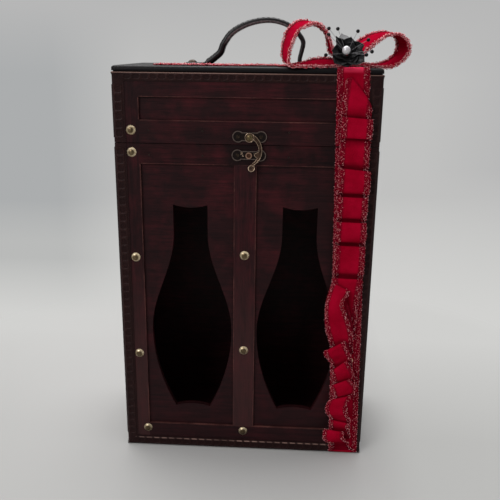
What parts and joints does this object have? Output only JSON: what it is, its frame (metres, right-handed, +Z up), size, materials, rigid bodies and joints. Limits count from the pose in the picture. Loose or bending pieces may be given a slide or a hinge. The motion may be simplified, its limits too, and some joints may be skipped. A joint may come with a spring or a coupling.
{
  "type": "wooden wine box",
  "caption": "Upright wooden gift box for wine bottles: hinged lid, swing-hook latch, bottle-shaped windows, carrying strap and ruffled ribbon with bow.",
  "frame": {"origin": "centre of the underside of the box, on the surface it stands on", "axes": "+X to the right seen from the front, +Y to the back where the hinges are, +Z up"},
  "size_m": [0.2361, 0.1284, 0.3802],
  "materials": {
    "board_wood": "dark mahogany stain, satin",
    "lath_wood": "dark mahogany stain, worn edges",
    "edge_leatherette": "dark brown leatherette, embossed stitching",
    "cover_leatherette": "near-black grained leatherette",
    "antique_brass": "aged brass",
    "dark_brass": "bronzed brass",
    "copper_post": "copper-coloured",
    "steel_brad": "dull",
    "red_ribbon": "red satin with fuzzy glitter edges",
    "black_satin": "black satin",
    "black_bead": "glossy",
    "pearl": "pearly"
  },
  "bodies": {
    "box": {"base_panel": "board_wood", "front_panel": "board_wood", "back_panel": "board_wood", "side_panel_left": "board_wood", "side_panel_right": "board_wood", "divider": "board_wood", "stile_left": "lath_wood", "stile_right": "lath_wood", "stile_middle": "lath_wood", "rail_top": "lath_wood", "rail_bottom": "lath_wood", "corner_wrap_front_left": "edge_leatherette", "corner_wrap_front_right": "edge_leatherette", "corner_wraps_back": "edge_leatherette", "edge_wrap_front": "edge_leatherette", "edge_wraps_sides": "edge_leatherette", "edge_wrap_back": "edge_leatherette", "box_studs": "antique_brass", "box_brads": "steel_brad", "latch_plate_lower": "dark_brass", "latch_post": "copper_post", "latch_nails_lower": "dark_brass", "hinge_leaves_lower": "dark_brass", "hinge_pins": "dark_brass", "hinge_screws_lower": "dark_brass", "ribbon_band_box": "red_ribbon", "ribbon_ruffle_box": "red_ribbon"},
    "lid": {"lid_top_board": "board_wood", "lid_cover": "cover_leatherette", "lid_front_panel": "board_wood", "lid_back_panel": "board_wood", "lid_side_left": "board_wood", "lid_side_right": "board_wood", "lid_stile_left": "lath_wood", "lid_stile_right": "lath_wood", "lid_rail_top": "lath_wood", "lid_rail_bottom": "lath_wood", "lid_corner_wrap_left": "edge_leatherette", "lid_corner_wrap_right": "edge_leatherette", "lid_corner_wraps_back": "edge_leatherette", "lid_edge_wrap_front": "edge_leatherette", "lid_edge_wraps_rear": "edge_leatherette", "lid_studs": "antique_brass", "lid_brads": "steel_brad", "latch_plate_upper": "dark_brass", "latch_rivet": "antique_brass", "latch_nails_upper": "dark_brass", "hinge_leaves_upper": "dark_brass", "hinge_screws_upper": "dark_brass", "carrying_strap": "cover_leatherette", "strap_studs": "antique_brass", "ribbon_band_lid": "red_ribbon", "ribbon_ruffle_lid": "red_ribbon", "ribbon_streamer": "red_ribbon", "ribbon_bow": "red_ribbon", "flower_petals": "black_satin", "flower_pearl": "pearl", "flower_stamens": "black_bead"},
    "latch_hook": {"latch_hook": "antique_brass"}
  },
  "joints": [
    {"name": "lid_hinge", "type": "hinge", "parent": "box", "child": "lid", "pos_m": [0, 0.0572, 0.281], "axis": [-1, 0, 0], "range_deg": [0, 110]},
    {"name": "latch_swing", "type": "hinge", "parent": "lid", "child": "latch_hook", "pos_m": [0.0033, -0.0578, 0.2872], "axis": [0, -1, 0], "range_deg": [0, 100]}
  ]
}
